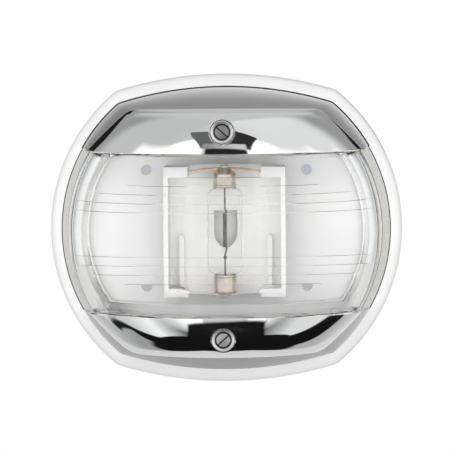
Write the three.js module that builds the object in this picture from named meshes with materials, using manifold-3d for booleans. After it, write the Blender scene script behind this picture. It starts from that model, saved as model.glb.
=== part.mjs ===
// A bulkhead navigation light: a white plastic base, a clear D-plan lens, two polished
// stainless hoods and an upright festoon lamp, each piece a separate solid.
// Millimetres, +Z up. The light is fixed to a wall at y = 0 and stands out towards -Y,
// so a depth here is a distance in front of the wall: depth = -y.

import * as THREE from 'three';
import { LoftGeometry } from 'three/addons/geometries/LoftGeometry.js';
import { mergeVertices } from 'three/addons/utils/BufferGeometryUtils.js';
import Module from 'manifold-3d';

const wasm = await Module();
wasm.setup();

// ---------------------------------------------------------------- driving dimensions

// The barrel outline: a circle, cut off at the top and bottom by two flatter arcs.
const BARREL_SIDE = 40; // half the width
const BARREL_APEX = 35; // half the height
const ARC_CENTRE = 49.5; // how far past the middle the flatter arcs have their centres
const SIDE_STEPS = 14;
const ARC_STEPS = 10;

const RIM_DEPTH = 7.5; // front face of the base, on which the lens and hoods stand
const RIM_ROUND = 2.2; // radius along the base's front edge
const FLOOR = 3; // thickness of the base's back wall
const ROUND_STEPS = 4;

// The hoods and the lens share one domed form: a narrow sloping band up to a crease,
// and in front of the crease a half-ellipse in every horizontal section.
const FORM = {
  footSide: 37.5, footApex: 32.2, footDepth: 7.6,
  creaseSide: 35.7, creaseApex: 28.3, creaseDepth: 17,
  creaseCentre: 250, // the crease's top arc is flatter than the outline's
  frontDepth: 43,
  brow: 18.5, // height above which the front turns back towards the crease
  browPower: 4.5, // how square that turn is
};
const DOME_RINGS = 10;
const SHEET = 0.9; // thickness of the hoods
const HOOD_GAP = 0.45; // between the hoods and the lens

const LENS_TOP = 19.8;
const LENS_CEILING = 17.6; // inner faces of the lens's top and bottom walls
const LENS_WALL = 3; // at the sides and the front
const LENS_FRONT = 41.9;
const PRISM_EDGES = [4.94, 6.96, 8.98, 11, 13.02]; // half heights of the prism lines
const PRISM_DEPTH = 0.7;
const PLAN_STEPS = 22;
const PLUG_STEPS = 56;

const SCREW_HEIGHT = 23.4; // of the hood screws, above and below the middle
const BOSS_RADIUS = 3.2;
const INSERT = { outer: 1.8, inner: 1.35, back: 33, front: 37.5 };
const DIMPLE = { radius: 2.6, floorFront: 40.2 };
const HEAD = { radius: 1.95, back: 40.75, front: 42.05, slotWidth: 0.7, slotDepth: 0.75 };
const SHANK = { radius: 1.15, back: 33.2 };
const WASHER = { outer: 2.35, inner: 1.4, back: 40.3, front: 40.65 };
const SLOT_TURN = THREE.MathUtils.degToRad(42);

const SEAT = { side: 34.4, height: 18.7, width: 1.7, depth: 1 }; // groove for the lens gasket
const REAR_GROOVE = { inset: 4, width: 3, depth: 1.5 };
const CHAMBER = { side: 32.3, height: 17.3 }; // hollow of the base behind the lens
const HOOD_POCKET = { inset: 6.5, height: 21.2 };
const FIXING = { x: 18.4, z: 13.6, radius: 1.55, padRadius: 3.1, padDepth: 0.5 };
const CABLE = { x: 8, hole: 4.4, bore: 3.2, flange: 5.2 };

const HOLDER = {
  halfWidth: 13.6, halfHeight: 14.8, plateBack: 8, plateFront: 10, front: 23,
  wall: 1, ribX: 9.7, ribWidth: 1.2, ribTop: -1.2, ribFront: 20,
  blockX: 8.2, blockHeight: 2.8,
};
const WIRE_WINDOW = { radius: 2.9, middle: -0.85, top: 3 }; // in the holder, before the cable
const HOLDER_SCREW = { z: 11.5, pillar: 2.6, head: 1.9, headHeight: 1.2, shank: 0.95, back: 4.2 };
const CONTACT = {
  depth: 19, width: 5, thickness: 0.4, endZ: 13, bowZ: 14.3, reach: 12, flatFrom: 9.4,
  forkWidth: 2.8, tailWidth: 2.2, tailX: 11, tailBack: 5.6,
};
const CONTACT_TRAVEL = 0.6;
const LAMP = {
  depth: 19, glassRadius: 4, neckRadius: 2, glassHalf: 10.4, glassWall: 0.4,
  capRadius: 2.65, capWall: 0.45, capRim: 9.1, capFloor: 10.55, capTop: 14.1,
  tipRadius: 0.95, tipTop: 15.2,
  filament: 0.3, filamentHalf: 10.2, coil: 0.55, coilHalf: 3.4,
};
const CLEAR = 0.15; // small play between pieces that touch

// ---------------------------------------------------------------- solids

/** A closed geometry as a manifold solid, without the triangles that a weld collapses. */
function solid(geometry) {
  const bare = new THREE.BufferGeometry();
  bare.setAttribute('position', geometry.attributes.position);
  bare.setIndex(geometry.index);
  const welded = mergeVertices(bare, 1e-4);
  const corners = Array.from(welded.index.array);
  const triangles = [];
  for (let i = 0; i < corners.length; i += 3) {
    const triangle = corners.slice(i, i + 3);
    if (new Set(triangle).size === 3) triangles.push(...triangle);
  }
  return new wasm.Manifold(new wasm.Mesh({
    numProp: 3,
    vertProperties: new Float32Array(welded.attributes.position.array),
    triVerts: new Uint32Array(triangles),
  }));
}

/** A manifold solid as a three.js geometry. */
function geometryOf(body) {
  const { vertProperties, triVerts } = body.getMesh();
  const geometry = new THREE.BufferGeometry();
  geometry.setAttribute('position', new THREE.BufferAttribute(vertProperties, 3));
  geometry.setIndex(new THREE.BufferAttribute(triVerts, 1));
  geometry.computeVertexNormals();
  return geometry;
}

const union = (first, ...others) => others.reduce((sum, other) => sum.add(other), first);
const cut = (first, ...others) => others.reduce((left, other) => left.subtract(other), first);

/** A box between two corners, given as [x, z, depth]. */
function block([x0, z0, d0], [x1, z1, d1]) {
  const box = new THREE.BoxGeometry(x1 - x0, d1 - d0, z1 - z0);
  box.translate((x0 + x1) / 2, -(d0 + d1) / 2, (z0 + z1) / 2);
  return solid(box);
}

/** A round solid about a front-to-back axis through (x, z), from [radius, depth] points. */
function turned(profile, x, z, segments = 20) {
  const points = profile.map(([radius, depth]) => new THREE.Vector2(radius, -depth));
  const lathe = new THREE.LatheGeometry(points.reverse(), segments);
  lathe.translate(x, 0, z);
  return solid(lathe);
}

const rod = (radius, back, front, x, z, segments) =>
  turned([[0, back], [radius, back], [radius, front], [0, front]], x, z, segments);

const ring = (outer, inner, back, front, x, z, segments) =>
  turned([[inner, back], [outer, back], [outer, front], [inner, front], [inner, back]], x, z, segments);

/** A round solid about the lamp's upright axis, from [radius, height] points going up. */
function upright(profile, segments = 18) {
  const lathe = new THREE.LatheGeometry(profile.map(([r, z]) => new THREE.Vector2(r, z)), segments);
  lathe.rotateX(Math.PI / 2);
  lathe.translate(0, -LAMP.depth, 0);
  return lathe;
}

/** A flat outline in x and z, pushed forward from one depth to another. */
function pushed(shape, back, front) {
  const plate = new THREE.ExtrudeGeometry(shape, { depth: front - back, bevelEnabled: false });
  plate.rotateX(Math.PI / 2);
  plate.translate(0, -back, 0);
  return solid(plate);
}

/** The part of a solid that lies between two heights. */
function slice(body, low, high) {
  const far = 2 * BARREL_SIDE;
  return body.intersect(block([-far, low, -far], [far, high, far]));
}

// ---------------------------------------------------------------- outlines

/** Points round a barrel outline, counterclockwise in x and z, corners included. */
function barrel(side, apex, centre = ARC_CENTRE) {
  const arc = apex + centre;
  const cornerZ = (arc ** 2 - side ** 2 - centre ** 2) / (2 * centre);
  const cornerX = Math.sqrt(side ** 2 - cornerZ ** 2);
  const sideTurn = Math.atan2(cornerZ, cornerX);
  const arcTurn = Math.atan2(cornerX, cornerZ + centre);
  const half = [];
  for (let i = 0; i < SIDE_STEPS; i++) {
    const turn = sideTurn * (2 * i / SIDE_STEPS - 1);
    half.push([side * Math.cos(turn), side * Math.sin(turn)]);
  }
  for (let i = 0; i < ARC_STEPS; i++) {
    const turn = arcTurn * (1 - 2 * i / ARC_STEPS);
    half.push([arc * Math.sin(turn), arc * Math.cos(turn) - centre]);
  }
  return [...half, ...half.map(([x, z]) => [-x, -z])];
}

/** An outline as a closed section at one depth. */
const section = (outline, depth) => outline.map(([x, z]) => new THREE.Vector3(x, -depth, z));

/** A solid skinned over sections that go forward from the wall. */
const lofted = (sections) => solid(new LoftGeometry(sections, { capStart: true, capEnd: true }));

/** A straight-sided barrel that is drawn in from the base's outline by an inset. */
function barrelPlug(inset, back, front) {
  const outline = barrel(BARREL_SIDE - inset, BARREL_APEX - inset);
  return lofted([section(outline, back), section(outline, front)]);
}

/** A barrel ring, as a groove or a seal holds it. */
const barrelRing = (inset, width, back, front) =>
  barrelPlug(inset, back, front).subtract(barrelPlug(inset + width, back - 1, front + 1));

/** A round plug with a flat top and bottom, as the lens and its seat have it. */
const flattenedPlug = (side, height, back, front) =>
  slice(rod(side, back, front, 0, 0, PLUG_STEPS), -height, height);

/** A ring of the same outline, as the lens's seat and its gasket have it. */
function flattenedRing({ side, height, width }, play, back, front) {
  const reach = width / 2 - play;
  const hole = flattenedPlug(side - reach, height - reach, back - 1, front + 1);
  return flattenedPlug(side + reach, height + reach, back, front).subtract(hole);
}

// ---------------------------------------------------------------- the domed form

/** Depth of the form's front over a point, for a copy drawn in by an inset. */
function formDepth(x, z, inset) {
  const side = FORM.creaseSide - inset;
  const arc = FORM.creaseApex - inset + FORM.creaseCentre;
  const creaseZ = Math.sqrt(arc ** 2 - x ** 2) - FORM.creaseCentre;
  const climb = THREE.MathUtils.clamp((Math.abs(z) - FORM.brow) / (creaseZ - FORM.brow), 0, 1);
  const brow = (1 - climb ** FORM.browPower) ** (1 / FORM.browPower);
  const across = Math.min(1, Math.abs(x) / Math.sqrt(side ** 2 - z ** 2));
  const crown = (FORM.frontDepth - inset - FORM.creaseDepth) * brow;
  return FORM.creaseDepth + crown * Math.sqrt(1 - across ** 2);
}

/** The form as a solid: its foot, its crease, and rings that close in over the front. */
function formSolid(inset, foot = FORM.footDepth) {
  const crease = barrel(FORM.creaseSide - inset, FORM.creaseApex - inset, FORM.creaseCentre);
  const sections = [
    section(barrel(FORM.footSide - inset, FORM.footApex - inset), foot),
    section(crease, FORM.creaseDepth),
  ];
  for (let i = 1; i < DOME_RINGS; i++) {
    const size = Math.cos((i / DOME_RINGS) * Math.PI / 2);
    sections.push(crease.map(([x, z]) => {
      const point = new THREE.Vector3(x * size, 0, z * size);
      point.y = -formDepth(point.x, point.z, inset);
      return point;
    }));
  }
  return lofted(sections);
}

// ---------------------------------------------------------------- base

function baseBody() {
  const sections = [section(barrel(BARREL_SIDE, BARREL_APEX), 0)];
  for (let i = 0; i <= ROUND_STEPS; i++) {
    const turn = (i / ROUND_STEPS) * Math.PI / 2;
    const inset = RIM_ROUND * (1 - Math.cos(turn));
    const depth = RIM_DEPTH - RIM_ROUND * (1 - Math.sin(turn));
    sections.push(section(barrel(BARREL_SIDE - inset, BARREL_APEX - inset), depth));
  }
  const above = RIM_DEPTH + 1;
  let body = cut(
    lofted(sections),
    flattenedPlug(CHAMBER.side, CHAMBER.height, FLOOR, above),
    flattenedRing(SEAT, 0, RIM_DEPTH - SEAT.depth, above),
    barrelRing(REAR_GROOVE.inset, REAR_GROOVE.width, -1, REAR_GROOVE.depth),
    rod(CABLE.hole, -1, above, CABLE.x, 0, 32),
  );
  const pocket = barrelPlug(HOOD_POCKET.inset, FLOOR, above);
  const innerForm = formSolid(SHEET + HOOD_GAP);
  for (const side of [1, -1]) {
    const z = side * SCREW_HEIGHT;
    const far = side * BARREL_SIDE;
    const near = side * HOOD_POCKET.height;
    body = cut(body, slice(pocket, Math.min(near, far), Math.max(near, far)));
    const room = innerForm.add(rod(BOSS_RADIUS + 1, 0, above, 0, z));
    const post = rod(BOSS_RADIUS, FLOOR - 1, DIMPLE.floorFront - SHEET - CLEAR, 0, z).intersect(room);
    const pillarZ = side * HOLDER_SCREW.z;
    body = union(body, post, rod(HOLDER_SCREW.pillar, FLOOR - 1, HOLDER.plateBack - CLEAR, 0, pillarZ));
    body = cut(
      body,
      rod(INSERT.outer + CLEAR, INSERT.back - CLEAR, FORM.frontDepth, 0, z),
      rod(INSERT.inner, SHANK.back - 4, FORM.frontDepth, 0, z),
      rod(HOLDER_SCREW.shank + CLEAR, HOLDER_SCREW.back - CLEAR, above, 0, pillarZ),
    );
    for (const x of [-FIXING.x, FIXING.x]) {
      body = body.add(rod(FIXING.padRadius, FLOOR - 1, FLOOR + FIXING.padDepth, x, side * FIXING.z));
      body = body.subtract(rod(FIXING.radius, -1, RIM_DEPTH, x, side * FIXING.z));
    }
  }
  return body;
}

const rearSeal = () =>
  barrelRing(REAR_GROOVE.inset + CLEAR, REAR_GROOVE.width - 2 * CLEAR, 0, REAR_GROOVE.depth - CLEAR);

const cableGrommet = () => turned([
  [CABLE.bore, 0.3], [CABLE.hole - CLEAR, 0.3], [CABLE.hole - CLEAR, FLOOR + CLEAR],
  [CABLE.flange, FLOOR + CLEAR], [CABLE.flange, FLOOR + 1], [CABLE.bore + 0.5, FLOOR + 2.2],
  [CABLE.bore, FLOOR + 2.2], [CABLE.bore, 0.3],
], CABLE.x, 0, 32);

const bossInsert = (z) => ring(INSERT.outer, INSERT.inner, INSERT.back, INSERT.front, 0, z);

// ---------------------------------------------------------------- lens

/**
 * A horizontal section of the lens: the half-ellipse in front of the crease, and a skirt
 * at each side that runs back to the foot. Counterclockwise as seen from above.
 */
function planSection(z, crease, foot, front, back) {
  const width = Math.sqrt(crease ** 2 - z ** 2);
  const footWidth = Math.sqrt(foot ** 2 - z ** 2);
  const points = [new THREE.Vector3(-footWidth, -back, z)];
  for (let i = 0; i <= PLAN_STEPS; i++) {
    const turn = (i / PLAN_STEPS) * Math.PI;
    const depth = FORM.creaseDepth + (front - FORM.creaseDepth) * Math.sin(turn);
    points.push(new THREE.Vector3(-width * Math.cos(turn), -depth, z));
  }
  points.push(new THREE.Vector3(footWidth, -back, z));
  return points;
}

/** Rows [height, inset] of the lens's hollow: smooth in the middle, then prism by prism. */
function prismRows() {
  const rows = [[0, 0], [PRISM_EDGES[0] / 2, PRISM_DEPTH / 4], [PRISM_EDGES[0], PRISM_DEPTH]];
  for (let i = 0; i < PRISM_EDGES.length; i++) {
    rows.push([PRISM_EDGES[i], 0]);
    if (i + 1 < PRISM_EDGES.length) rows.push([PRISM_EDGES[i + 1], PRISM_DEPTH]);
  }
  rows.push([LENS_CEILING, 0]);
  return [...rows.slice(1).reverse().map(([z, step]) => [-z, step]), ...rows];
}

function lens() {
  const drawnIn = (inset) => (z) =>
    planSection(z, FORM.creaseSide - inset, FORM.footSide - inset, LENS_FRONT, FORM.footDepth);
  const tucked = drawnIn(SHEET + HOOD_GAP); // where the hoods lie over the lens
  const shown = drawnIn(CLEAR / 2);
  const edge = FORM.brow - HOOD_GAP;
  const middle = [-1, -0.7, -0.35, 0, 0.35, 0.7, 1].map((part) => shown(part * edge));
  const outer = lofted([tucked(-LENS_TOP), tucked(-edge), ...middle, tucked(edge), tucked(LENS_TOP)]);
  const wall = LENS_WALL + PRISM_DEPTH / 2;
  const hollow = lofted(prismRows().map(([z, step]) => {
    const side = FORM.creaseSide - wall + step;
    return planSection(z, side, side, LENS_FRONT - wall + step, FORM.footDepth - 1);
  }));
  return outer.subtract(hollow);
}

const lensGasket = () => flattenedRing(SEAT, CLEAR, RIM_DEPTH - SEAT.depth + 0.05, RIM_DEPTH + 0.05);

// ---------------------------------------------------------------- hoods and their screws

/** One hood, from the form's shell: side is 1 for the upper and -1 for the lower. */
function hood(side) {
  const z = side * SCREW_HEIGHT;
  const shell = formSolid(0).subtract(formSolid(SHEET, FORM.footDepth - 0.01));
  const near = side * FORM.brow;
  const far = side * BARREL_SIDE;
  const cover = slice(shell, Math.min(near, far), Math.max(near, far));
  const cup = rod(DIMPLE.radius + SHEET, DIMPLE.floorFront - SHEET, FORM.frontDepth, 0, z, 32);
  return cut(
    union(cover, cup.intersect(formSolid(0))),
    rod(DIMPLE.radius, DIMPLE.floorFront, FORM.frontDepth + 1, 0, z, 32),
    rod(WASHER.inner, 0, FORM.frontDepth, 0, z),
  );
}

const washer = (z) => ring(WASHER.outer, WASHER.inner, WASHER.back, WASHER.front, 0, z);

/** A slotted screw with a slightly domed head; turn is the slot's angle. */
function coverScrew(z, turn) {
  const { radius, back, front, slotWidth, slotDepth } = HEAD;
  const screw = turned([
    [0, SHANK.back], [SHANK.radius - 0.4, SHANK.back], [SHANK.radius, SHANK.back + 0.6],
    [SHANK.radius, back], [radius, back], [radius, front - 0.3], [radius - 0.3, front], [0, front],
  ], 0, z);
  const slot = new THREE.BoxGeometry(2 * radius + 1, 2 * slotDepth, slotWidth);
  slot.rotateY(turn);
  slot.translate(0, -front, z);
  return screw.subtract(solid(slot));
}

// ---------------------------------------------------------------- lamp holder and contacts

function lampHolder() {
  const { halfWidth, halfHeight, plateBack, plateFront, front, wall, blockX, blockHeight } = HOLDER;
  let holder = block([-halfWidth, -halfHeight, plateBack], [halfWidth, halfHeight, plateFront]);
  for (const side of [1, -1]) {
    const between = (x0, x1, z0, z1, d0, d1) =>
      block([Math.min(side * x0, side * x1), z0, d0], [Math.max(side * x0, side * x1), z1, d1]);
    holder = union(
      holder,
      between(halfWidth - wall, halfWidth, -halfHeight, halfHeight, plateBack, front),
      between(blockX, halfWidth, halfHeight - blockHeight, halfHeight, plateBack, front),
      between(blockX, halfWidth, -halfHeight, blockHeight - halfHeight, plateBack, front),
      between(HOLDER.ribX - HOLDER.ribWidth / 2, HOLDER.ribX + HOLDER.ribWidth / 2,
        1 - halfHeight, HOLDER.ribTop, plateBack, HOLDER.ribFront),
    );
  }
  const { radius, middle, top } = WIRE_WINDOW;
  const beyond = plateFront + 1;
  holder = cut(
    holder,
    rod(radius, 0, beyond, 0, middle, 32),
    block([-radius, middle, 0], [radius, top, beyond]),
  );
  const slotX = CONTACT.reach + CLEAR * 2;
  for (const up of [1, -1]) {
    const low = up * (CONTACT.endZ - CLEAR * 2);
    const high = up * (CONTACT.endZ + CONTACT.thickness + CONTACT_TRAVEL + CLEAR * 2);
    const slotBack = CONTACT.depth - CONTACT.width / 2 - CLEAR * 2;
    const slotFront = CONTACT.depth + CONTACT.width / 2 + CLEAR * 2;
    const [z0, z1] = [Math.min(low, high), Math.max(low, high)];
    const tailX = up * CONTACT.tailX;
    const tailRoom = CONTACT.tailWidth / 2 + CLEAR * 2;
    holder = cut(
      holder,
      block([-slotX, z0, slotBack], [slotX, z1, slotFront]),
      block([tailX - tailRoom, z0, plateBack - 1], [tailX + tailRoom, z1, slotBack + 1]),
      rod(HOLDER_SCREW.shank + CLEAR, 0, beyond, 0, up * HOLDER_SCREW.z),
    );
  }
  return holder;
}

const holderScrew = (z) => turned([
  [0, HOLDER_SCREW.back], [0.4, HOLDER_SCREW.back], [HOLDER_SCREW.shank, HOLDER_SCREW.back + 1],
  [HOLDER_SCREW.shank, HOLDER.plateFront + CLEAR / 2], [HOLDER_SCREW.head, HOLDER.plateFront + CLEAR / 2],
  [HOLDER_SCREW.head, HOLDER.plateFront + HOLDER_SCREW.headHeight - 0.4],
  [HOLDER_SCREW.head - 0.5, HOLDER.plateFront + HOLDER_SCREW.headHeight],
  [0, HOLDER.plateFront + HOLDER_SCREW.headHeight],
], 0, z);

/** A bowed leaf spring across the holder, forked for the lamp's tip, with a tail to the back. */
function contact(up) {
  const { depth, width, thickness, endZ, bowZ, reach, flatFrom } = CONTACT;
  const { forkWidth, tailWidth, tailX, tailBack } = CONTACT;
  const steps = 12;
  const lower = [];
  for (let i = 0; i <= steps; i++) {
    const x = -flatFrom + (2 * flatFrom * i) / steps;
    const bow = (1 + Math.cos((Math.PI * x) / flatFrom)) / 2;
    lower.push(new THREE.Vector2(x, endZ + (bowZ - endZ) * bow));
  }
  lower.unshift(new THREE.Vector2(-reach, endZ));
  lower.push(new THREE.Vector2(reach, endZ));
  const upper = lower.map(({ x, y }) => new THREE.Vector2(x, y + thickness)).reverse();
  const leaf = pushed(new THREE.Shape([...lower, ...upper]), depth - width / 2, depth + width / 2);
  const fork = block([-forkWidth / 2, endZ, depth - forkWidth / 2],
    [forkWidth / 2, bowZ + 1, depth + width]);
  const tail = block([tailX - tailWidth / 2, endZ, tailBack],
    [tailX + tailWidth / 2, endZ + thickness, depth - width / 2 + 0.5]);
  const piece = geometryOf(leaf.add(tail).subtract(fork));
  return up > 0 ? piece : piece.rotateY(Math.PI);
}

// ---------------------------------------------------------------- festoon lamp

function lampGlass() {
  const { glassRadius, neckRadius, glassHalf, glassWall, capRim } = LAMP;
  const lowerHalf = [
    [neckRadius, -glassHalf], [neckRadius, -capRim],
    [glassRadius - 0.4, 0.7 - capRim], [glassRadius, 1.6 - capRim],
  ];
  const outer = [...lowerHalf, ...lowerHalf.map(([radius, z]) => [radius, -z]).reverse()];
  const inner = outer.map(([radius, z]) => [radius - glassWall, z]).reverse();
  return upright([...outer, ...inner, outer[0]]);
}

/** A metal end cap that holds the glass's neck, with its contact tip, for the upper end. */
const lampCap = () => upright([
  [0, LAMP.capFloor], [LAMP.capRadius - LAMP.capWall, LAMP.capFloor],
  [LAMP.capRadius - LAMP.capWall, LAMP.capRim], [LAMP.capRadius, LAMP.capRim],
  [LAMP.capRadius, LAMP.capTop - 1.1],
  [LAMP.tipRadius + 0.5, LAMP.capTop], [LAMP.tipRadius, LAMP.capTop + 0.15],
  [LAMP.tipRadius, LAMP.tipTop - 0.3], [LAMP.tipRadius - 0.4, LAMP.tipTop], [0, LAMP.tipTop],
]);

/** The filament with its coiled middle, as one slim solid between the caps. */
const lampFilament = () => upright([
  [0, -LAMP.filamentHalf], [LAMP.filament, -LAMP.filamentHalf], [LAMP.filament, -LAMP.coilHalf],
  [LAMP.coil, -LAMP.coilHalf + 0.3], [LAMP.coil, LAMP.coilHalf - 0.3], [LAMP.filament, LAMP.coilHalf],
  [LAMP.filament, LAMP.filamentHalf], [0, LAMP.filamentHalf],
], 10);

// ---------------------------------------------------------------- assembly

const material = (color, roughness, metalness) =>
  new THREE.MeshStandardMaterial({ color, roughness, metalness });

const WHITE_PLASTIC = [0xf2f2ef, 0.45, 0];
const STAINLESS = [0xd3d6d8, 0.08, 1];
const CLEAR_PLASTIC = [0xe6eef0, 0.05, 0];
const CLEAR_GLASS = [0xeef2f2, 0.03, 0];
const BLACK_RUBBER = [0x2a2a2b, 0.85, 0];
const PALE_SILICONE = [0xe9e6da, 0.6, 0];
const BRASS = [0xc8a351, 0.3, 1];
const COPPER = [0xb9764f, 0.3, 1];
const NICKEL = [0xc9bda6, 0.3, 1];
const TUNGSTEN = [0x55534f, 0.6, 1];

const light = new THREE.Group();

function place(name, body, finish) {
  const geometry = body.isBufferGeometry ? body : geometryOf(body);
  const mesh = new THREE.Mesh(geometry, material(...finish));
  mesh.name = name;
  light.add(mesh);
}

place('base_body', baseBody(), WHITE_PLASTIC);
place('rear_seal', rearSeal(), BLACK_RUBBER);
place('cable_grommet', cableGrommet(), BLACK_RUBBER);
place('lamp_holder', lampHolder(), WHITE_PLASTIC);
place('lens', lens(), CLEAR_PLASTIC);
place('lens_gasket', lensGasket(), PALE_SILICONE);
place('lamp_glass', geometryOf(solid(lampGlass())), CLEAR_GLASS);
place('lamp_filament', geometryOf(solid(lampFilament())), TUNGSTEN);
for (const [end, side] of [['upper', 1], ['lower', -1]]) {
  const z = side * SCREW_HEIGHT;
  place(`${end}_hood`, hood(side), STAINLESS);
  place(`${end}_screw_washer`, washer(z), STAINLESS);
  place(`${end}_cover_screw`, coverScrew(z, side * SLOT_TURN), STAINLESS);
  place(`${end}_boss_insert`, bossInsert(z), BRASS);
  place(`${end}_holder_screw`, holderScrew(side * HOLDER_SCREW.z), STAINLESS);
  place(`${end}_contact`, contact(side), COPPER);
  const cap = lampCap();
  if (side < 0) cap.translate(0, LAMP.depth, 0).rotateX(Math.PI).translate(0, -LAMP.depth, 0);
  place(`lamp_${end}_cap`, geometryOf(solid(cap)), NICKEL);
}

export default light;
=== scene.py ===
"""Looks of a bulkhead navigation light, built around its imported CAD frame.

Blender works in metres, and the lengths below are millimetres. The wall is the plane y = 0
and the light stands out towards -Y, so a depth here is a distance in front of the wall.
"""

from math import asin, atan2, cos, hypot, pi, radians, sin, sqrt

import bmesh
import bpy
from mathutils import Matrix, Quaternion, Vector


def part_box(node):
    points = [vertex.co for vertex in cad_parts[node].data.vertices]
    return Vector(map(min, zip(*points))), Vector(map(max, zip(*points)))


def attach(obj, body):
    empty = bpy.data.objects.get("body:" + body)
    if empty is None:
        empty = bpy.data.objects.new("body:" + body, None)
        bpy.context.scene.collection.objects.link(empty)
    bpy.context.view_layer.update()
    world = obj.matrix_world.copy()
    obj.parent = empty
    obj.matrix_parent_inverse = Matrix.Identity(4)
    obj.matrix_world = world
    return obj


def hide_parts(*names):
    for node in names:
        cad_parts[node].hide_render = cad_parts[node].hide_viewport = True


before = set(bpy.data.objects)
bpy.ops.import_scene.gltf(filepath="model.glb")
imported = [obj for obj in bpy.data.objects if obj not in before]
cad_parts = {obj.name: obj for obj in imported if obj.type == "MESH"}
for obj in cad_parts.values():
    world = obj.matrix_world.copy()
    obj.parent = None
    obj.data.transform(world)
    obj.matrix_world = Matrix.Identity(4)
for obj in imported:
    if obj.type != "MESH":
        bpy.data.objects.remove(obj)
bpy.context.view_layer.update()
MM = 0.001


# -------------------- sizes

def span(node):
    """A CAD node's reach in millimetres: (x low, high), (z low, high), (depth back, front)."""
    low, high = (Vector(corner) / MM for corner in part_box(node))
    return (low.x, high.x), (low.z, high.z), (-high.y, -low.y)


(_, BASE_SIDE), (_, BASE_APEX), _ = span("base_body")
_, (_, LENS_TOP), (LENS_FOOT, LENS_FRONT) = span("lens")
_, (BROW, _), (HOOD_FOOT, HOOD_FRONT) = span("upper_hood")
_, (SCREW_LOW, SCREW_HIGH), (SHANK_BACK, HEAD_FRONT) = span("upper_cover_screw")
SCREW_Z = (SCREW_LOW + SCREW_HIGH) / 2
(_, HOLDER_SIDE), (_, HOLDER_TOP), (PLATE_BACK, HOLDER_FRONT) = span("lamp_holder")
_, _, (LAMP_BACK, LAMP_FRONT) = span("lamp_glass")
LAMP_DEPTH = (LAMP_BACK + LAMP_FRONT) / 2
LAMP_RADIUS = (LAMP_FRONT - LAMP_BACK) / 2
GROMMET_SPAN, _, _ = span("cable_grommet")
CABLE_X = sum(GROMMET_SPAN) / 2

# The barrel outline: a circle whose top and bottom are cut off by flatter arcs.
ARC_CENTRE = 49.5  # how far past the middle the flatter arcs have their centres
OUTLINE_STEPS = 432
BARREL_CORNER, STADIUM_CORNER = 0.2, 0.5  # how far the outlines' corners are blended

RIM_DEPTH = 7.5
RIM_ROUND = 2.2
FLOOR = 3
SEAM = 0.34  # half width of the joint groove on the base above the upper hood, filled with near black as painted shade
THIN_SEAM = 0.12  # half width of the joint groove beside the lens, also filled with painted shade

RIM_SIDE, RIM_APEX = 37.4, 32.15
CREASE_SIDE, CREASE_DEPTH = 35.7, 17
CREASE_TOP, CREASE_DROP = 28.3, 0.6  # height of the crease, and how much it falls to its corner
CREASE_TIP, CREASE_CORNER = 31, 21.9  # how far out the crease is at the window edge and at its corner
CREASE_SWELL = 1.2
BROW_POWER = 4.5  # how squarely the hoods turn back above the window edge
CROWN_BOW = 0.8  # how far the front leans back by the time it reaches the crease
BAND_FLARE = 1.2  # how much later than evenly the band flares out towards the rim
SHEET = 0.9

SKIRT_INSET = 0.1
LENS_TUCK = 1.35  # the lens is this much smaller where the hoods cover it
LENS_WALL = 3
LENS_CEILING = 17.6
PRISM_EDGES = [4.94, 6.96, 8.98, 11, 13.02]
PRISM_REACH = [60, 60, 30, 23, 9.5]  # half the length of each prism line
PRISM_STEP = 0.18

SEAT_SIDE, SEAT_HEIGHT = 34.4, 18.7
PILLAR_Z, HOLDER_PLATE = 11.5, 2  # height of the holder's two screws, and thickness of its plate
HEAD_SEAT = 40.75  # depth of the underside of the cover screws' heads


# -------------------- shapes

def spot(x, z, depth):
    """A point in metres from millimetres across, up and in front of the wall."""
    return Vector((x, -depth, z)) * MM


def least(a, b, blend):
    """The smaller of two numbers, with a smooth change-over between them."""
    overlap = max(blend - abs(a - b), 0) / blend
    return min(a, b) - overlap * overlap * blend / 4


def barrel_radius(turn, side, apex):
    """Distance from the middle to a barrel outline along a direction."""
    across, up = cos(turn) * ARC_CENTRE, abs(sin(turn)) * ARC_CENTRE
    flatter = sqrt((apex + ARC_CENTRE) ** 2 - across * across) - up
    return least(side, flatter, BARREL_CORNER)


def stadium_radius(turn, side, height):
    """Distance to a round outline with a flat top and bottom."""
    rise = abs(sin(turn))
    return least(side, height / rise if rise > 0.01 else 100 * side, STADIUM_CORNER)


def outline(radius_at, depth):
    """A closed outline at one depth, from a function of the direction."""
    points = []
    for step in range(OUTLINE_STEPS):
        turn = 2 * pi * step / OUTLINE_STEPS
        radius = radius_at(turn)
        points.append(spot(radius * cos(turn), radius * sin(turn), depth))
    return points


def barrel(side, apex, depth):
    return outline(lambda turn: barrel_radius(turn, side, apex), depth)


def stadium(side, height, depth):
    return outline(lambda turn: stadium_radius(turn, side, height), depth)


def eased(path, radius, steps=4, closed=False):
    """A flat path with each of its corners replaced by a small curve."""
    path = [Vector(point) for point in path]
    smooth = []
    for i, here in enumerate(path):
        if not closed and i in (0, len(path) - 1):
            smooth.append(here)
            continue
        before, after = path[i - 1], path[(i + 1) % len(path)]
        start = here + (before - here) * min(0.45, radius / (before - here).length)
        end = here + (after - here) * min(0.45, radius / (after - here).length)
        for step in range(steps + 1):
            t = step / steps
            smooth.append(start * (1 - t) ** 2 + here * (2 * t * (1 - t)) + end * t * t)
    return smooth


def placed(name, data):
    """A new object in the scene."""
    thing = bpy.data.objects.new(name, data)
    bpy.context.scene.collection.objects.link(thing)
    return thing


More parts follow.
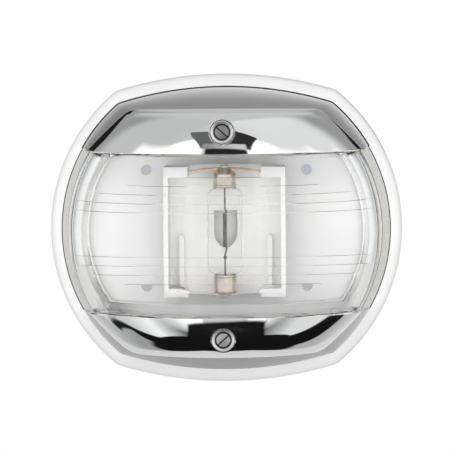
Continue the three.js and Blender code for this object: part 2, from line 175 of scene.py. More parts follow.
class Shape:
    """Points and faces that a piece is built up from; mark is a face's material slot."""

    def __init__(self):
        self.points, self.faces, self.marks = [], [], []

    def skin(self, rings, closed=True, caps=True, looped=False, mark=0):
        """Faces between rings of points; looped joins the last ring to the first."""
        start, count = len(self.points), len(rings[0])
        for ring in rings:
            self.points.extend(ring)
        pairs = [(i, i + 1) for i in range(len(rings) - 1)]
        if looped:
            pairs.append((len(rings) - 1, 0))
        for low, high in pairs:
            for i in range(count if closed else count - 1):
                j = (i + 1) % count
                corners = [low * count + i, low * count + j, high * count + j, high * count + i]
                self.faces.append([start + corner for corner in corners])
                self.marks.append(mark)
        if caps and not looped:
            for ring in (0, len(rings) - 1):
                self.faces.append([start + ring * count + i for i in range(count)])
                self.marks.append(mark)
        return self

    def turned(self, profile, x=0, z=0, segments=48, upright=False):
        """A round body: [radius, depth] about a front-to-back axis, or [radius, height]."""
        rings = []
        for radius, along in profile:
            ring = []
            for step in range(segments):
                turn = 2 * pi * step / segments
                across, other = radius * cos(turn), radius * sin(turn)
                if upright:
                    ring.append(spot(x + across, along, LAMP_DEPTH + other))
                else:
                    ring.append(spot(x + across, z + other, along))
            rings.append(ring)
        looped = (Vector(profile[0]) - Vector(profile[-1])).length < 1e-6
        return self.skin(rings[:-1] if looped else rings, caps=not looped, looped=looped)

    def box(self, x0, x1, z0, z1, d0, d1):
        corners = [(x0, z0), (x1, z0), (x1, z1), (x0, z1)]
        return self.skin([[spot(x, z, depth) for x, z in corners] for depth in (d0, d1)])

    def tube(self, path, radius, segments=10):
        """A round wire along a list of points, in metres."""
        rings = []
        for i, here in enumerate(path):
            ahead = (path[min(i + 1, len(path) - 1)] - path[max(i - 1, 0)]).normalized()
            side = ahead.cross(Vector((0.3, 1, 0.1))).normalized()
            other = ahead.cross(side)
            turns = [2 * pi * step / segments for step in range(segments)]
            rings.append([here + (side * cos(t) + other * sin(t)) * radius * MM for t in turns])
        return self.skin(rings)

    def mesh(self, name):
        mesh = bpy.data.meshes.new(name)
        mesh.from_pydata(self.points, [], self.faces)
        mesh.polygons.foreach_set("material_index", self.marks)
        work = bmesh.new()
        work.from_mesh(mesh)
        bmesh.ops.remove_doubles(work, verts=work.verts, dist=1e-7)
        bmesh.ops.dissolve_degenerate(work, edges=work.edges, dist=1e-7)
        bmesh.ops.recalc_face_normals(work, faces=work.faces)
        work.to_mesh(mesh)
        work.free()
        return mesh

    def part(self, name="scrap"):
        return placed(name, self.mesh(name))


def settle(body):
    """Applies an object's modifiers to its mesh."""
    sheet = bpy.context.evaluated_depsgraph_get()
    mesh = bpy.data.meshes.new_from_object(body.evaluated_get(sheet), depsgraph=sheet)
    body.modifiers.clear()
    body.data = mesh
    return body


def combine(body, tool, operation):
    """Joins, cuts or trims a body with another one, which is then removed."""
    step = body.modifiers.new("combine", "BOOLEAN")
    step.operation, step.object, step.solver = operation, tool, "EXACT"
    step.material_mode = "TRANSFER" if operation == "DIFFERENCE" and tool.data.materials else "INDEX"
    settle(body)
    bpy.data.objects.remove(tool)
    return body


def join(body, tool):
    return combine(body, tool, "UNION")


def cut(body, tool):
    return combine(body, tool, "DIFFERENCE")


def bevel(body, width):
    step = body.modifiers.new("edges", "BEVEL")
    step.width, step.segments = width * MM, 2
    step.limit_method, step.angle_limit = "ANGLE", radians(35)
    return settle(body)


def rod(radius, back, front, x=0, z=0, segments=64):
    """A round bar from front to back."""
    return Shape().turned([(0, back), (radius, back), (radius, front), (0, front)], x, z, segments).part()


def block(x0, x1, z0, z1, back, front):
    """A block between two widths and two heights, each pair in any order."""
    return Shape().box(*sorted((x0, x1)), *sorted((z0, z1)), back, front).part()


def finish_piece(body, name, node, rides_on, materials, sharp=30):
    """Names a piece, gives it its finish and puts it on its body in place of its CAD node."""
    body.name = body.data.name = name
    marks = [face.material_index for face in body.data.polygons]
    body.data.materials.clear()
    for material in materials:
        body.data.materials.append(material)
    body.data.polygons.foreach_set("material_index", marks)
    body.data.shade_smooth()
    body.data.set_sharp_from_angle(angle=radians(sharp))
    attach(body, rides_on)
    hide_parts(node)
    return body


def repaint(piece, pick, z=0):
    """Picks each face's material by its distance from a front-to-back axis, depth and height."""
    for face in piece.data.polygons:
        middle = face.center / MM
        face.material_index = pick(hypot(middle.x, middle.z - z), -middle.y, middle.z)
    return piece


# -------------------- node trees

class Nodes:
    """Short calls that build a node tree; most return a socket to plug in elsewhere."""

    def __init__(self, owner):
        owner.use_nodes = True
        self.tree = owner.node_tree
        self.tree.nodes.clear()

    def add(self, kind, inputs=(), **settings):
        node = self.tree.nodes.new(kind)
        for name, value in settings.items():
            setattr(node, name, value)
        for name, value in dict(inputs).items():
            self.plug(node, name, value)
        return node

    def plug(self, node, name, value):
        if isinstance(value, bpy.types.NodeSocket):
            self.tree.links.new(value, node.inputs[name])
        else:
            node.inputs[name].default_value = value

    def math(self, operation, a, b=0):
        return self.add("ShaderNodeMath", {0: a, 1: b}, operation=operation).outputs[0]

    def scaled(self, value, from_low, from_high, to_low, to_high, smooth=False):
        kind = "SMOOTHSTEP" if smooth else "LINEAR"
        node = self.add("ShaderNodeMapRange", {
            "Value": value, "From Min": from_low, "From Max": from_high,
            "To Min": to_low, "To Max": to_high,
        }, interpolation_type=kind)
        return node.outputs["Result"]

    def blend(self, share, first, second):
        node = self.add("ShaderNodeMix", {"Factor": share}, data_type="RGBA")
        self.plug(node, 6, first)
        self.plug(node, 7, second)
        return node.outputs[2]

    def apart(self, vector):
        return self.add("ShaderNodeSeparateXYZ", {0: vector}).outputs

    def place(self):
        return self.add("ShaderNodeTexCoord").outputs["Object"]

    def moved(self, **change):
        """The place on the object, stretched by Scale or shifted by Location."""
        return self.add("ShaderNodeMapping", {"Vector": self.place(), **change}).outputs[0]

    def noise(self, per_metre, detail=3, where=None):
        node = self.add("ShaderNodeTexNoise", {
            "Vector": where or self.place(), "Scale": per_metre, "Detail": detail,
        })
        return node.outputs["Fac"]

    def bump(self, height, depth, strength=1):
        node = self.add("ShaderNodeBump", {"Height": height, "Distance": depth * MM, "Strength": strength})
        return node.outputs["Normal"]

    def surface(self, inputs):
        shader = self.add("ShaderNodeBsdfPrincipled", inputs)
        self.add("ShaderNodeOutputMaterial", {"Surface": shader.outputs[0]})


def new_material(name):
    material = bpy.data.materials.new(name)
    return material, Nodes(material)


def mottled(name, low, high, rough, per_metre=90, grain=4000, grain_depth=0.004, **inputs):
    """A surface whose colour and roughness drift slowly, with a fine grain over it."""
    material, nodes = new_material(name)
    drift = nodes.noise(per_metre)
    colour = nodes.blend(nodes.scaled(drift, 0.3, 0.7, 0, 1), (*low, 1), (*high, 1))
    nodes.surface({
        "Base Color": colour,
        "Roughness": nodes.scaled(drift, 0.3, 0.7, *rough),
        "Normal": nodes.bump(nodes.noise(grain, 2), grain_depth),
        **inputs,
    })
    return material


ACROSS = (0.08, 1, 1)  # draws a pattern out from side to side


def polished_steel():
    """Mirror-polished sheet, with faint polishing marks that run across it."""
    material, nodes = new_material("polished_steel")
    marks = nodes.noise(900, 4, nodes.moved(Scale=ACROSS))
    drift = nodes.noise(60)
    colour = nodes.blend(drift, (0.78, 0.79, 0.8, 1), (0.83, 0.835, 0.835, 1))
    nodes.surface({
        "Base Color": colour, "Metallic": 1,
        "Roughness": nodes.scaled(marks, 0.35, 0.75, 0.025, 0.06),
        "Normal": nodes.bump(marks, 0.0006, 0.6),
    })
    return material


def band_steel_painted_shade(name, shade):
    """The hollow band, its colour painted darker towards the crease: painted shade standing in for the
    band's darker reflection there.
    """
    material, nodes = new_material(name)
    marks = nodes.noise(700, 4, nodes.moved(Scale=ACROSS))
    share = nodes.scaled(nodes.apart(nodes.place())[1], -CREASE_DEPTH * MM, -HOOD_FOOT * MM, 0, 1)
    # Painted shade: the colour runs from the shade tone at the crease to the light tone at the rim.
    painted_shade_falloff = nodes.math("POWER", share, 2.6)
    light = nodes.blend(marks, (0.95, 0.955, 0.96, 1), (0.99, 0.99, 0.99, 1))
    nodes.surface({
        "Base Color": nodes.blend(painted_shade_falloff, (shade, shade, shade, 1), light), "Metallic": 1,
        "Roughness": nodes.scaled(marks, 0.35, 0.75, 0.52, 0.58),
        "Normal": nodes.bump(marks, 0.0005, 0.5),
    })
    return material


def turned_steel(name, z, colour=(0.6, 0.6, 0.6), rough=(0.2, 0.34)):
    """Lathe-turned steel: fine rings about a front-to-back axis at a height."""
    material, nodes = new_material(name)
    x, _, up = nodes.apart(nodes.moved(Location=(0, 0, -z * MM)))
    squares = [nodes.math("POWER", length, 2) for length in (x, up)]
    radius = nodes.math("SQRT", nodes.math("ADD", *squares))
    ring_pitch = 0.4 * MM
    rings = nodes.math("SINE", nodes.math("MULTIPLY", radius, 2 * pi / ring_pitch))
    drift = nodes.noise(1500)
    shade = tuple(0.8 * part for part in colour)
    nodes.surface({
        "Base Color": nodes.blend(drift, (*shade, 1), (*colour, 1)), "Metallic": 1,
        "Roughness": nodes.scaled(drift, 0.3, 0.7, *rough),
        "Normal": nodes.bump(rings, 0.0012, 0.4),
    })
    return material


def metal(name, low, high, rough, per_metre=700):
    return mottled(name, low, high, rough, per_metre, 5000, 0.0015, Metallic=1)


def clear_plastic(name, tint, ior, rough, waves=0.002, wave_scale=120):
    """Clear moulding: transmission with the faint waviness of a moulded wall."""
    material, nodes = new_material(name)
    drift = nodes.noise(wave_scale, 2)
    light = tuple(min(1, part + 0.015) for part in tint)
    nodes.surface({
        "Base Color": nodes.blend(drift, (*tint, 1), (*light, 1)),
        "Roughness": nodes.scaled(drift, 0.3, 0.7, *rough),
        "Normal": nodes.bump(drift, waves),
        "IOR": ior, "Transmission Weight": 1,
    })
    return material


def frosted_skirt():
    """The grained outside of the lens's skirt, pale where it scatters the light."""
    material, nodes = new_material("frosted_skirt")
    grains = nodes.noise(2600, 2)
    pale = nodes.scaled(grains, 0.4, 0.62, 0, 1)
    nodes.surface({
        "Base Color": nodes.blend(pale, (0.66, 0.65, 0.6, 1), (0.93, 0.92, 0.88, 1)),
        "Roughness": nodes.scaled(grains, 0.3, 0.7, 0.3, 0.55),
        "Normal": nodes.bump(grains, 0.05, 0.7),
    })
    return material


WHITE = mottled("white_plastic", (0.86, 0.865, 0.862), (0.9, 0.9, 0.89), (0.34, 0.44), 70, 3500, 0.003)
# Near black for the joint grooves: painted shade in the gaps between parts.
SEAM_SHADE = mottled("seam_shade", (0.03, 0.03, 0.03), (0.07, 0.07, 0.07), (0.6, 0.8))
STEEL = polished_steel()
# Both hollow bands are painted darker towards the crease, the upper one much more: painted shade for the
# darker reflection there.
BAND_STEEL_PAINTED_SHADE = {1: band_steel_painted_shade("upper_band_steel", 0.4), -1: band_steel_painted_shade("lower_band_steel", 0.78)}
# Near black for the washers' seats and the screws' slots: painted shade in these recesses.
SEAT_SHADE = mottled("shaded_seat", (0.03, 0.03, 0.03), (0.06, 0.06, 0.06), (0.5, 0.7), 900, 4000, 0.001)
RUBBER = mottled("black_rubber", (0.02, 0.02, 0.021), (0.045, 0.045, 0.046), (0.7, 0.85), 400, 3000, 0.02)
SILICONE = mottled("pale_silicone", (0.74, 0.72, 0.66), (0.88, 0.87, 0.82), (0.45, 0.6), 900, 2600, 0.02)
BRASS = metal("brass", (0.62, 0.45, 0.2), (0.78, 0.6, 0.3), (0.25, 0.4))
COPPER = metal("copper_strip", (0.62, 0.36, 0.22), (0.85, 0.62, 0.46), (0.2, 0.34), 260)
NICKEL = metal("nickel", (0.66, 0.58, 0.5), (0.82, 0.75, 0.66), (0.16, 0.3), 300)
BRIGHT = metal("bright_steel", (0.93, 0.93, 0.93), (0.99, 0.99, 0.99), (0.46, 0.52), 900)
WIRE = metal("tungsten_wire", (0.16, 0.15, 0.15), (0.3, 0.27, 0.26), (0.35, 0.5))
LENS_CLEAR = clear_plastic("lens_clear", (0.98, 0.985, 0.985), 1.49, (0, 0.012))
LAMP_CLEAR = clear_plastic("lamp_clear", (0.985, 0.99, 0.99), 1.2, (0, 0.01), 0.0005, 300)
SKIRT = frosted_skirt()


# -------------------- base

def barrel_cutter(side, apex, back, front):
    return Shape().skin([barrel(side, apex, back), barrel(side, apex, front)]).part()


def stadium_cutter(side, height, back, front):
    return Shape().skin([stadium(side, height, back), stadium(side, height, front)]).part()


def ring_cutter(side, apex, width, back, front, material):
    """A thin barrel-shaped ring, to cut a groove of one material with."""
    rings = [
        barrel(side, apex, back), barrel(side, apex, front),
        barrel(side - width, apex - width, front), barrel(side - width, apex - width, back),
    ]
    body = Shape().skin(rings, looped=True).part()
    body.data.materials.append(material)
    return body


def base():
    """The moulded base: its rounded rim, the hollow behind the lens, posts and holes."""
    rings = [
        barrel(BASE_SIDE - 0.35, BASE_APEX - 0.35, 0),
        barrel(BASE_SIDE - 0.1, BASE_APEX - 0.1, 0.1),
        barrel(BASE_SIDE, BASE_APEX, 0.4),
    ]
    rim_steps = 14
    for step in range(rim_steps + 1):
        turn = step / rim_steps * pi / 2
        inset = RIM_ROUND * (1 - cos(turn))
        depth = RIM_DEPTH - RIM_ROUND * (1 - sin(turn))
        rings.append(barrel(BASE_SIDE - inset, BASE_APEX - inset, depth))
    body = Shape().skin(rings).part()
    body.data.materials.append(WHITE)
    above = RIM_DEPTH + 1

    # Cut from the front: the hollow behind the lens, the gasket's groove and the joint line.
    chamber_side, chamber_height = 32.3, 17.3
    cut(body, stadium_cutter(chamber_side, chamber_height, FLOOR, above))
    seat_half = 0.85
    seat = stadium_cutter(SEAT_SIDE + seat_half, SEAT_HEIGHT + seat_half, RIM_DEPTH - 1, above)
    cut(seat, stadium_cutter(SEAT_SIDE - seat_half, SEAT_HEIGHT - seat_half, FLOOR, above + 1))
    cut(body, seat)
    # Both joint grooves are cut with SEAM_SHADE, so their walls carry painted shade.
    for half, low, high in ((SEAM, BROW, BASE_SIDE), (THIN_SEAM, -BROW, BROW)):
        side, apex = RIM_SIDE + half, RIM_APEX + half
        seam = ring_cutter(side, apex, 2 * half, RIM_DEPTH - 0.35, above, SEAM_SHADE)
        cut(body, combine(seam, block(-BASE_SIDE, BASE_SIDE, low, high, 0, above + 1), "INTERSECT"))
    pocket_inset, pocket_height = 6.5, 21.2
    for side in (1, -1):
        pocket = barrel_cutter(BASE_SIDE - pocket_inset, BASE_APEX - pocket_inset, FLOOR, above)
        space = block(-BASE_SIDE, BASE_SIDE, side * pocket_height, side * BASE_SIDE, 0, above + 1)
        cut(body, combine(pocket, space, "INTERSECT"))

    # Cut from behind: the seal's groove and the holes for the cable and the wall screws.
    inset, width, depth = 4, 3, 1.5
    cut(body, ring_cutter(BASE_SIDE - inset, BASE_APEX - inset, width, -1, depth, WHITE))
    cable_hole, wall_hole, wall_x, wall_z = 4.4, 1.3, 18.4, 13.6
    cut(body, rod(cable_hole, -1, above, CABLE_X))
    for x in (-wall_x, wall_x):
        for z in (-wall_z, wall_z):
            cut(body, rod(wall_hole, -1, RIM_DEPTH, x, z, 48))

    # The posts that the cover screws go into, and the pillars under the lamp holder.
    post_front, insert_bore, insert_back, shank_bore, shank_back = 39.1, 1.95, 32.85, 1.35, 29
    pillar_radius, pilot_radius, pilot_back = 2.6, 1.1, 4.05
    for side in (1, -1):
        post = Shape().turned(eased([
            (0, FLOOR - 1), (4.4, FLOOR - 1), (3.6, FLOOR + 1.5), (3.2, FLOOR + 5),
            (3.2, post_front), (0, post_front),
        ], 0.4), 0, side * SCREW_Z).part()
        for wing in (-1, 1):
            low, high = side * SCREW_Z - 0.6, side * SCREW_Z + 0.6
            join(post, block(wing * 2.4, wing * 6.5, low, high, FLOOR - 1, 9))
        join(body, post)
        join(body, rod(pillar_radius, FLOOR - 1, PLATE_BACK - 0.15, 0, side * PILLAR_Z))
        cut(body, rod(insert_bore, insert_back, post_front + 1, 0, side * SCREW_Z, 32))
        cut(body, rod(shank_bore, shank_back, post_front + 1, 0, side * SCREW_Z, 32))
        cut(body, rod(pilot_radius, pilot_back, above, 0, side * PILLAR_Z, 32))
    piece = finish_piece(body, "moulded_base", "base_body", "base", [WHITE, SEAM_SHADE])
    piece.visible_glossy = False
    return piece


def ring_seal(name, node, material, at, half_width, half_depth, middle):
    """A soft ring of rounded section that follows an outline; at gives the outline."""
    section = eased([
        (-half_width, middle - half_depth), (half_width, middle - half_depth),
        (half_width, middle + half_depth), (-half_width, middle + half_depth),
    ], 0.4 * half_depth, 3, closed=True)
    rings = [at(offset, depth) for offset, depth in section]
    body = Shape().skin(rings, looped=True).part()
    return finish_piece(body, name, node, "base", [material], 50)


def rear_seal():
    """The black seal between the base and the wall."""
    side, apex = BASE_SIDE - 5.5, BASE_APEX - 5.5
    return ring_seal("rear_seal_ring", "rear_seal", RUBBER,
                     lambda offset, depth: barrel(side + offset, apex + offset, depth),
                     half_width=1.3, half_depth=0.65, middle=0.68)


def lens_gasket():
    """The pale gasket that the lens's foot presses on."""
    return ring_seal("lens_gasket_ring", "lens_gasket", SILICONE,
                     lambda offset, depth: stadium(SEAT_SIDE + offset, SEAT_HEIGHT + offset, depth),
                     half_width=0.68, half_depth=0.45, middle=RIM_DEPTH - 0.46)


def cable_grommet():
    """The rubber grommet in the base's cable hole."""
    bore, collar, flange = 3.2, 4.25, 5.2
    profile = eased([
        (bore, 0.3), (collar, 0.3), (collar, 3.15), (flange, 3.15), (flange, 4), (4.2, 4.3),
        (bore + 0.45, 5.2), (bore, 5.2),
    ], 0.25, 4, closed=True)
    body = Shape().turned([*profile, profile[0]], CABLE_X, segments=72).part()
    return finish_piece(body, "grommet", "cable_grommet", "base", [RUBBER], 50)


def boss_insert(end, side):
    """A brass insert with grooves round it, set in the front of a post."""
    outer, inner, back, front = 1.8, 1.35, 33, 37.5
    path = [(inner, back), (outer - 0.15, back)]
    grooves = 6
    for i in range(grooves):
        low = back + 0.4 + i * 0.65
        path += [(outer - 0.15, low), (outer, low + 0.08), (outer, low + 0.42), (outer - 0.15, low + 0.5)]
    path += [(outer - 0.15, front - 0.1), (outer - 0.3, front), (inner, front), (inner, back)]
    body = Shape().turned(path, 0, side * SCREW_Z, 48).part()
    return finish_piece(body, f"{end}_threaded_insert", f"{end}_boss_insert", "base", [BRASS])


# -------------------- lens

def plan_section(z, crease, skirt, front):
    """A horizontal section of the clear form, left foot to right foot over the front."""
    arc_steps = 132
    points = [spot(-sqrt(radius ** 2 - z * z), z, depth) for radius, depth in skirt]
    width = sqrt(crease ** 2 - z * z)
    for step in range(arc_steps + 1):
        turn = pi * step / arc_steps
        depth = CREASE_DEPTH + (front - CREASE_DEPTH) * sin(turn)
        points.append(spot(-width * cos(turn), z, depth))
    points += [spot(sqrt(radius ** 2 - z * z), z, depth) for radius, depth in reversed(skirt)]
    return points


def skirt_profile(inset, seams):
    """Radii and depths down the lens's skirt, with a fine groove below the crease."""
    crease, foot = CREASE_SIDE - inset, RIM_SIDE - inset
    plain = [(foot, LENS_FOOT), (foot - 0.02, LENS_FOOT + 0.3), (crease + 0.1, CREASE_DEPTH - 0.9)]
    if not seams:
        return [*plain, (crease + 0.06, CREASE_DEPTH - 0.7), (crease + 0.03, CREASE_DEPTH - 0.5)]
    return [*plain, (crease - 0.12, CREASE_DEPTH - 0.75), (crease + 0.02, CREASE_DEPTH - 0.5)]


def prism_offset(x, z):
    """How far the inner wall stands forward of its plain surface, prism by prism."""
    height = abs(z)
    for i, edge in enumerate(PRISM_EDGES):
        if height <= edge + 1e-9:
            start = PRISM_EDGES[i - 1] if i else 0.6 * edge
            share = max(0, (height - start) / (edge - start))
            reach = PRISM_REACH[i]
            fade = min(1, max(0, (reach - abs(x)) / (0.25 * reach)))
            return PRISM_STEP * share * fade * fade * (3 - 2 * fade)
    return 0


def prism_rows():
    """Heights of the inner wall's rows: close pairs at each prism edge, plain elsewhere."""
    ledge = 0.07
    rows = [0, 1.5, 3]
    for i, edge in enumerate(PRISM_EDGES):
        start = PRISM_EDGES[i - 1] if i else 3
        rows += [start + (edge - start) * share for share in (0.35, 0.7)]
        rows += [edge, edge + ledge]
    rows += [14.5, 16, LENS_CEILING]
    return [-row for row in reversed(rows[1:])] + rows


def lens():
    """The clear lens, hollow behind, with prisms inside and a grained skirt at each side."""
    edge = BROW - 0.45
    sections = []
    for z in (-LENS_TOP, -LENS_TOP + 0.1, -edge - 0.02):
        inset = LENS_TUCK + (0.1 if z == -LENS_TOP else 0)
        skirt = skirt_profile(inset, False)
        sections.append(plan_section(z, CREASE_SIDE - inset, skirt, LENS_FRONT - 0.02))
    shown_rows = 24
    skirt = skirt_profile(SKIRT_INSET, True)
    for step in range(shown_rows + 1):
        z = edge * (2 * step / shown_rows - 1)
        sections.append(plan_section(z, CREASE_SIDE - SKIRT_INSET, skirt, LENS_FRONT))
    sections += [[Vector((p.x, p.y, -p.z)) for p in ring] for ring in reversed(sections[:3])]
    body = Shape().skin(sections).part()
    inner_side, inner_front = CREASE_SIDE - LENS_WALL, LENS_FRONT - LENS_WALL
    rows = []
    for z in prism_rows():
        ring = plan_section(z, inner_side, [(inner_side, LENS_FOOT - 1), (inner_side, 12)], inner_front)
        for point in ring:
            depth = -point.y / MM
            front = min(1, max(0, (depth - CREASE_DEPTH) / 12))
            point.y -= prism_offset(point.x / MM, z) * front * MM
        rows.append(ring)
    cut(body, Shape().skin(rows).part())
    finishes = [LENS_CLEAR, SKIRT, SEAM_SHADE]
    piece = finish_piece(body, "clear_lens", "lens", "lens", finishes, 7)

    def pick(radius, depth, height):
        """The skirt's outside is grained, with painted shade in the groove along the crease."""
        outside = radius > CREASE_SIDE - 0.75 and abs(height) < edge
        if not outside or not LENS_FOOT + 0.01 < depth < CREASE_DEPTH - 0.45:
            return 0
        return 2 if depth > CREASE_DEPTH - 0.85 else 1

    repaint(piece, pick)
    piece.visible_shadow = False
    piece.visible_diffuse = False
    return piece


# -------------------- hoods and screws

def crease_reach(z):
    """How far out the crease is at a height between the window edge and its corner."""
    share = (z - BROW) / (CREASE_TOP - CREASE_DROP - BROW)
    return CREASE_TIP + (CREASE_CORNER - CREASE_TIP) * share + CREASE_SWELL * share * (1 - share)


def crease_height(x):
    return CREASE_TOP - CREASE_DROP * (x / CREASE_CORNER) ** 2


CORNER_TURN = atan2(CREASE_TOP - CREASE_DROP, CREASE_CORNER)
CORNER_KINK, CORNER_EASE = 0.38, 1.2  # how sharply the crease turns, and over what length


def eased_corner(x, z):
    """Draws a point of the hood inwards near the crease's corners, which are rounded."""
    corner = hypot(CREASE_CORNER, CREASE_TOP - CREASE_DROP)
    apart = (atan2(z, abs(x)) - CORNER_TURN) * corner
    inside = max(0, corner - hypot(x, z))
    pull = CORNER_KINK * (hypot(apart, inside, CORNER_EASE) - hypot(apart, inside))
    pull *= min(1, (z - BROW) / 4)
    return x * (1 - pull / corner), z * (1 - pull / corner)


def dome_point(turn, climb):
    """A point of the dome: turn runs from side to side, climb from the edge to the crease."""
    x, z = 0, BROW
    for _ in range(14):
        x = cos(turn) * crease_reach(z)
        z = BROW + climb * (crease_height(x) - BROW)
    rise = (1 - min(1, climb) ** BROW_POWER) ** (1 / BROW_POWER)
    crown = (HOOD_FRONT - CREASE_DEPTH - CROWN_BOW * climb * climb) * rise
    return *eased_corner(x, z), CREASE_DEPTH + crown * sin(turn)


DIMPLE_LIP, DIMPLE_WALL, DIMPLE_DEPTH = 3, 2.7, 40.2
DIMPLE_ROUND = 0.25


def dimpled(x, z, depth):
    """Depth of the sheet with the round dimple that the screw's washer sits in."""
    reach = hypot(x, z - SCREW_Z)
    if reach >= DIMPLE_LIP:
        return depth
    if reach <= DIMPLE_WALL - 0.12:
        return DIMPLE_DEPTH
    if reach <= DIMPLE_WALL:
        share = (reach - DIMPLE_WALL + 0.12) / 0.12
        return DIMPLE_DEPTH + (depth - DIMPLE_ROUND - DIMPLE_DEPTH) * share
    lean = (DIMPLE_LIP - reach) / (DIMPLE_LIP - DIMPLE_WALL)
    return depth - DIMPLE_ROUND * (1 - sqrt(max(0, 1 - lean * lean)))


def dome_turns():
    """Turns from one side to the other, close together in front of the screw."""
    fine, reach = 0.14, 3.8
    inner = [fine * step for step in range(int(reach / fine) + 1)]
    outer_steps, crease_half = 90, 27
    start = asin(inner[-1] / crease_half)
    outer = [start + (pi / 2 - start) * sin(step / outer_steps * pi / 2)
             for step in range(1, outer_steps + 1)]
    half = [asin(x / crease_half) for x in inner] + outer
    return [pi / 2 + lean for lean in reversed(half)] + [pi / 2 - lean for lean in half[1:]]


def dome_climbs():
    """Shares of the way up to the crease, close together near it, where the form turns."""
    plain = [step / 78 for step in range(63)]
    start = asin(plain[-1] ** (BROW_POWER / 2))
    steps = 34
    return plain + [sin(start + (pi / 2 - start) * step / steps) ** (2 / BROW_POWER)
                    for step in range(1, steps)] + [1]


def rim_turn(turn, tip, rim_tip):
    """The rim's direction that belongs to a direction of the crease, tip to tip."""
    mirrored = turn > pi / 2
    turn = pi - turn if mirrored else turn
    if turn < CORNER_TURN:
        share = (turn - tip) / (CORNER_TURN - tip)
        turn = rim_tip + share * (CORNER_TURN - rim_tip)
    return pi - turn if mirrored else turn


def hood(end, side):
    """One polished hood: dome, crease and hollow band, in sheet metal of one thickness."""
    turns = dome_turns()
    dome = [[dome_point(turn, climb) for turn in turns] for climb in dome_climbs()]
    crease = [row[0] for row in dome] + dome[-1][1:-1] + [row[-1] for row in reversed(dome)]
    tip = atan2(BROW, CREASE_TIP)
    rim_tip = asin(BROW / RIM_SIDE)
    band_steps = 16
    band = []
    for step in range(band_steps + 1):
        share = step / band_steps
        grow = share ** BAND_FLARE
        depth = CREASE_DEPTH + (HOOD_FOOT - CREASE_DEPTH) * share
        line = []
        for x, z, _ in crease:
            far_turn = rim_turn(atan2(z, x), tip, rim_tip)
            far = barrel_radius(far_turn, RIM_SIDE, RIM_APEX)
            x += (far * cos(far_turn) - x) * grow
            z += (far * sin(far_turn) - z) * grow
            line.append((x, max(BROW, z), depth))
        band.append(line)
    shape = Shape()
    shape.skin([[spot(*point) for point in row] for row in dome], closed=False, caps=False)
    shape.skin([[spot(*point) for point in row] for row in band], closed=False, caps=False, mark=1)
    mesh = shape.mesh("hood")
    for vert in mesh.vertices:
        x, depth, z = vert.co.x / MM, -vert.co.y / MM, vert.co.z / MM
        if depth > CREASE_DEPTH + 1:
            vert.co.y = -dimpled(x, z, depth) * MM
        vert.co.z *= side
    mesh.update()
    if sum(face.normal.y * face.area for face in mesh.polygons) > 0:
        mesh.flip_normals()
    finishes = [STEEL, BAND_STEEL_PAINTED_SHADE[side]]
    for material in finishes:
        mesh.materials.append(material)
    body = placed("hood", mesh)
    sheet = body.modifiers.new("sheet", "SOLIDIFY")
    sheet.thickness, sheet.offset = SHEET * MM, -1
    settle(body)
    cut(body, rod(1.4, 20, HOOD_FRONT, 0, side * SCREW_Z, 48))
    name = f"{end}_hood"
    return finish_piece(body, name + "_shell", name, name, finishes, 40)


def screw_washer(end, side):
    """A cup washer: a flat seat and bore in painted shade, and a polished flare round the screw's head."""
    bore, gap, edge, seat, top, sheet = 1.4, 1.95, 2.58, 40.3, 41.95, 0.35
    profile = [
        (bore, seat), (edge, seat), (edge, top), (edge - 0.1, top + 0.05), (edge - 0.14, top),
        (gap, top - 0.3), (gap, seat + sheet), (bore, seat + sheet), (bore, seat),
    ]
    body = Shape().turned(profile, 0, side * SCREW_Z, 96).part()
    piece = finish_piece(body, f"{end}_cup_washer", f"{end}_screw_washer", f"{end}_washer",
                         [BRIGHT, SEAT_SHADE], 30)
    # The seat and bore get the near-black slot: painted shade.
    return repaint(piece, lambda radius, *_: int(not gap + 0.01 <= radius <= edge - 0.02), side * SCREW_Z)


def slotted(body, z, turn, front, width, depth, reach):
    """Cuts a screwdriver slot across a head."""
    slot = block(-reach, reach, -width / 2, width / 2, front - depth, front + 1)
    slot.data.transform(Matrix.Translation((0, 0, z * MM)) @ Matrix.Rotation(turn, 4, "Y"))
    return cut(body, slot)


def cover_screw(end, side):
    """A slotted machine screw, with real thread ridges on its shank."""
    head, shank, pitch = 1.72, 1.15, 0.45
    path = [(0, SHANK_BACK), (shank - 0.35, SHANK_BACK), (shank - 0.2, SHANK_BACK + 0.3)]
    ridges = 14
    for i in range(ridges):
        low = SHANK_BACK + 0.4 + i * pitch
        path += [(shank - 0.22, low), (shank, low + 0.2), (shank, low + 0.25)]
    path += [(shank - 0.2, SHANK_BACK + 0.5 + ridges * pitch), (shank - 0.2, HEAD_SEAT)]
    crown = eased([(shank - 0.2, HEAD_SEAT), (head, HEAD_SEAT), (head, HEAD_FRONT - 0.25),
                   (head - 0.22, HEAD_FRONT - 0.05), (0, HEAD_FRONT)], 0.12)
    body = Shape().turned([*path, *crown[1:]], 0, side * SCREW_Z, 64).part()
    slot_turn, slot_width, slot_depth = side * radians(42), 0.36, 0.7
    slotted(body, side * SCREW_Z, slot_turn, HEAD_FRONT, slot_width, slot_depth, 2.5)
    # The upper screw's steel is painted darker than the lower one's: painted shade.
    painted_tone = 0.5 if side > 0 else 0.8
    colour = (painted_tone, painted_tone, painted_tone * 0.98)
    finishes = [turned_steel(f"{end}_screw_steel", side * SCREW_Z, colour, (0.3, 0.42)), SEAT_SHADE]
    piece = finish_piece(body, f"{end}_slotted_screw", f"{end}_cover_screw", f"{end}_screw",
                         finishes, 32)

    def pick(radius, depth, _):
        """The slot's walls and floor get painted shade."""
        return int(radius < head - 0.02 and HEAD_FRONT - 0.72 < depth < HEAD_FRONT - 0.08)

    return repaint(piece, pick, side * SCREW_Z)


# -------------------- lamp holder and contacts

CONTACT_Z, CONTACT_BOW, CONTACT_THICK, CONTACT_WIDTH = 13, 14.1, 0.4, 5
TAIL_X = 11  # how far from the middle the contacts' tails run back through the plate


